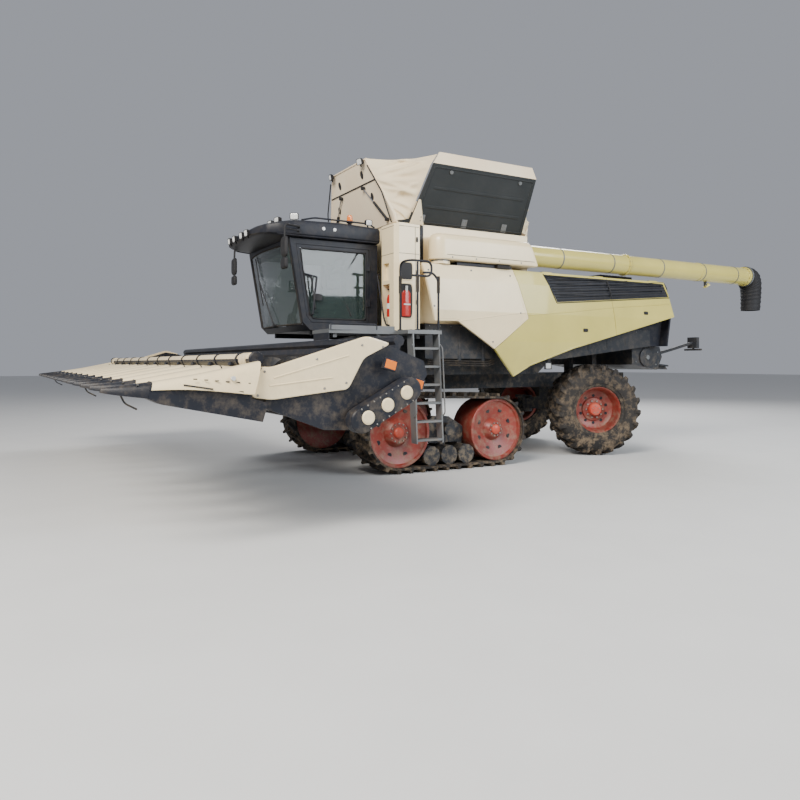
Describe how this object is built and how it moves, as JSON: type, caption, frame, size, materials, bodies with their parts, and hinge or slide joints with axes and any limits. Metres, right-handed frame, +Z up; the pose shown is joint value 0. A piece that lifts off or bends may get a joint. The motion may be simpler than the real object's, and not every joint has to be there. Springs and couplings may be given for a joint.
{
  "type": "corn combine harvester",
  "caption": "Corn combine harvester on front half tracks with a raised corn header, open grain tank covers, a cab and an unloading auger.",
  "frame": {"origin": "middle of the length and width, on the ground under the tracks and tyres", "axes": "+Y towards the rear along the machine's length, +X to the machine's left, +Z up"},
  "size_m": [9.64, 13.2438, 4.8943],
  "materials": {
    "cream_paint": "satin",
    "green_paint": "satin",
    "black_paint": "satin",
    "grey_steel": "satin",
    "bare_steel": "satin",
    "flap_grey": "satin",
    "rubber": "matte",
    "rim_red": "satin",
    "glass": "gloss",
    "canvas": "matte",
    "poly_cream": "satin",
    "nose_black": "satin",
    "lamp": "gloss",
    "seat_cloth": "matte",
    "extinguisher_red": "gloss",
    "soft_black": "matte"
  },
  "bodies": {
    "chassis": {"chassis_frame": "black_paint", "separator_hull": "black_paint", "engine_block": "grey_steel", "rear_hood": "black_paint", "chopper": "black_paint", "rear_axle": "black_paint", "track_belt_L": "rubber", "track_belt_R": "rubber", "track_frames": "rim_red", "track_wheels": "rim_red", "grain_tank": "grey_steel", "tank_cover_front": "cream_paint", "tank_cover_rear": "cream_paint", "tank_canvas": "canvas", "side_panel_front_L": "cream_paint", "side_panel_front_R": "cream_paint", "cab_frame": "black_paint", "cab_glass": "glass", "cab_roof": "black_paint", "roof_lamps": "lamp", "cab_seat": "seat_cloth", "cab_console": "soft_black", "mirrors": "soft_black", "platform": "grey_steel", "handrails": "black_paint", "ladder": "grey_steel", "tower_panel": "cream_paint", "fire_extinguisher": "extinguisher_red"},
    "header": {"feeder_house": "black_paint", "header_frame": "black_paint", "row_units": "black_paint", "snapping_rolls": "bare_steel", "gathering_chains": "bare_steel", "snout_noses": "nose_black", "snouts_inner": "poly_cream", "row_hoods": "poly_cream", "snouts_end": "poly_cream", "header_end_panels": "cream_paint", "header_drive_cases": "cream_paint"},
    "cross_auger": {"header_auger": "black_paint"},
    "lift_barrels": {"lift_barrels": "black_paint"},
    "lift_rods": {"lift_rods": "bare_steel"},
    "knuckle_L": {"knuckle_L": "black_paint"},
    "knuckle_R": {"knuckle_R": "black_paint"},
    "wheel_L": {"rim_L": "rim_red", "tyre_L": "rubber"},
    "wheel_R": {"rim_R": "rim_red", "tyre_R": "rubber"},
    "unloading_auger": {"auger_cover": "poly_cream", "auger_tube": "green_paint", "auger_spout": "rubber"},
    "tank_flap_L": {"tank_flap_L": "flap_grey"},
    "tank_flap_R": {"tank_flap_R": "flap_grey"},
    "cab_door": {"cab_door": "black_paint", "cab_door_glass": "glass"},
    "side_rear_L": {"side_panel_rear_L": "green_paint", "side_grille_L": "flap_grey"},
    "side_rear_R": {"side_panel_rear_R": "green_paint", "side_grille_R": "flap_grey"}
  },
  "joints": [
    {"name": "header_lift", "type": "hinge", "parent": "chassis", "child": "header", "pos_m": [0, -1.872, 1.95], "axis": [1, 0, 0], "range_deg": [-6, 16.4]},
    {"name": "cross_auger_spin", "type": "hinge", "parent": "header", "child": "cross_auger", "pos_m": [0, -4.2316, 1.477], "axis": [1, 0, 0], "continuous": true},
    {"name": "lift_barrel_swing", "type": "hinge", "parent": "chassis", "child": "lift_barrels", "pos_m": [0, -1.652, 0.64], "axis": [1, 0, 0], "range_deg": [-8, 22]},
    {"name": "lift_rod_slide", "type": "slide", "parent": "lift_barrels", "child": "lift_rods", "axis": [0, -0.9874, 0.1584], "range_m": [-0.45, 0.2]},
    {"name": "steer_L", "type": "hinge", "parent": "chassis", "child": "knuckle_L", "pos_m": [0.9, 2.183, 0.805], "axis": [0, 0, 1], "range_deg": [-12, 60]},
    {"name": "steer_R", "type": "hinge", "parent": "chassis", "child": "knuckle_R", "pos_m": [-0.9, 2.183, 0.805], "axis": [0, 0, 1], "range_deg": [-12, 60]},
    {"name": "wheel_L_spin", "type": "hinge", "parent": "knuckle_L", "child": "wheel_L", "pos_m": [1.3339, 1.9898, 0.805], "axis": [0.9135, -0.4067, 0], "continuous": true},
    {"name": "wheel_R_spin", "type": "hinge", "parent": "knuckle_R", "child": "wheel_R", "pos_m": [-1.3339, 2.3762, 0.805], "axis": [0.9135, -0.4067, 0], "continuous": true},
    {"name": "auger_swing", "type": "hinge", "parent": "chassis", "child": "unloading_auger", "pos_m": [1.43, -1.322, 3.43], "axis": [0, 0, -1], "range_deg": [0, 100]},
    {"name": "flap_L_fold", "type": "hinge", "parent": "chassis", "child": "tank_flap_L", "pos_m": [1.224, -0.722, 3.8143], "axis": [0, -1, 0], "range_deg": [0, 112], "deforming": ["tank_canvas"]},
    {"name": "flap_R_fold", "type": "hinge", "parent": "chassis", "child": "tank_flap_R", "pos_m": [-1.224, -0.722, 3.8143], "axis": [0, 1, 0], "range_deg": [0, 112]},
    {"name": "cab_door_swing", "type": "hinge", "parent": "chassis", "child": "cab_door", "pos_m": [0.9623, -2.325, 2.8], "axis": [0, 0, 1], "range_deg": [0, 78]},
    {"name": "side_rear_L_lift", "type": "hinge", "parent": "chassis", "child": "side_rear_L", "pos_m": [1.5, 1.978, 3.161], "axis": [0, -1, 0], "range_deg": [0, 80]},
    {"name": "side_rear_R_lift", "type": "hinge", "parent": "chassis", "child": "side_rear_R", "pos_m": [-1.5, 1.978, 3.161], "axis": [0, 1, 0], "range_deg": [0, 80]}
  ],
  "couplings": [
    {"joint": "lift_barrel_swing", "follows": "header_lift", "ratio": 0.8125},
    {"joint": "lift_rod_slide", "follows": "header_lift", "m_per_rad": -1.2964},
    {"joint": "steer_R", "follows": "steer_L", "ratio": 1},
    {"joint": "flap_R_fold", "follows": "flap_L_fold", "ratio": 1}
  ]
}
